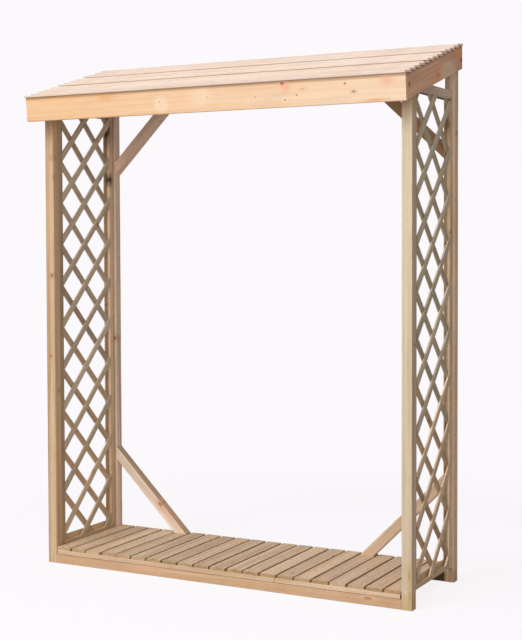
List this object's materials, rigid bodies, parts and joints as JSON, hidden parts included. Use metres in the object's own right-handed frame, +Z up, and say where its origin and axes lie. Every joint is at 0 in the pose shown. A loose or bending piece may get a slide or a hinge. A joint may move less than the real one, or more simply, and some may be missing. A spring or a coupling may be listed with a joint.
{
  "type": "log store",
  "caption": "Open-fronted timber log store with a slatted floor, diagonal lattice sides, corner-braced open back and a single-pitch lapped-board roof.",
  "frame": {"origin": "on the ground, at the middle of the overall width and of the overall depth", "axes": "+X to the right seen from the front, +Y from the open front to the back, +Z up"},
  "size_m": [1.532, 0.568, 1.946],
  "materials": {
    "frame_timber": "planed softwood, pressure treated, unpainted",
    "floor_timber": "planed softwood, pressure treated, unpainted",
    "lattice_timber": "planed softwood, pressure treated, unpainted",
    "trim_timber": "planed softwood, pressure treated, unpainted",
    "roof_timber": "planed softwood, pressure treated, unpainted"
  },
  "bodies": {
    "root": {"front_left_post": "frame_timber", "rear_left_post": "frame_timber", "front_right_post": "frame_timber", "rear_right_post": "frame_timber", "front_bottom_rail": "frame_timber", "rear_bottom_rail": "frame_timber", "front_top_rail": "frame_timber", "rear_top_rail": "frame_timber", "front_floor_batten": "floor_timber", "middle_floor_batten": "floor_timber", "rear_floor_batten": "floor_timber", "floor_slats": "floor_timber", "left_front_stile": "lattice_timber", "left_rear_stile": "lattice_timber", "left_bottom_rail": "lattice_timber", "left_top_rail": "lattice_timber", "left_lattice": "lattice_timber", "right_front_stile": "lattice_timber", "right_rear_stile": "lattice_timber", "right_bottom_rail": "lattice_timber", "right_top_rail": "lattice_timber", "right_lattice": "lattice_timber", "bottom_left_brace": "frame_timber", "top_left_brace": "frame_timber", "bottom_right_brace": "frame_timber", "top_right_brace": "frame_timber", "front_fascia": "trim_timber", "left_bargeboard": "trim_timber", "right_bargeboard": "trim_timber", "middle_rafter": "frame_timber", "roof_board_01": "roof_timber", "roof_board_02": "roof_timber", "roof_board_03": "roof_timber", "roof_board_04": "roof_timber", "roof_board_05": "roof_timber", "roof_board_06": "roof_timber", "roof_board_07": "roof_timber", "roof_board_08": "roof_timber", "roof_board_09": "roof_timber", "roof_board_10": "roof_timber", "roof_board_11": "roof_timber", "roof_board_12": "roof_timber", "roof_board_13": "roof_timber"}
  },
  "joints": []
}
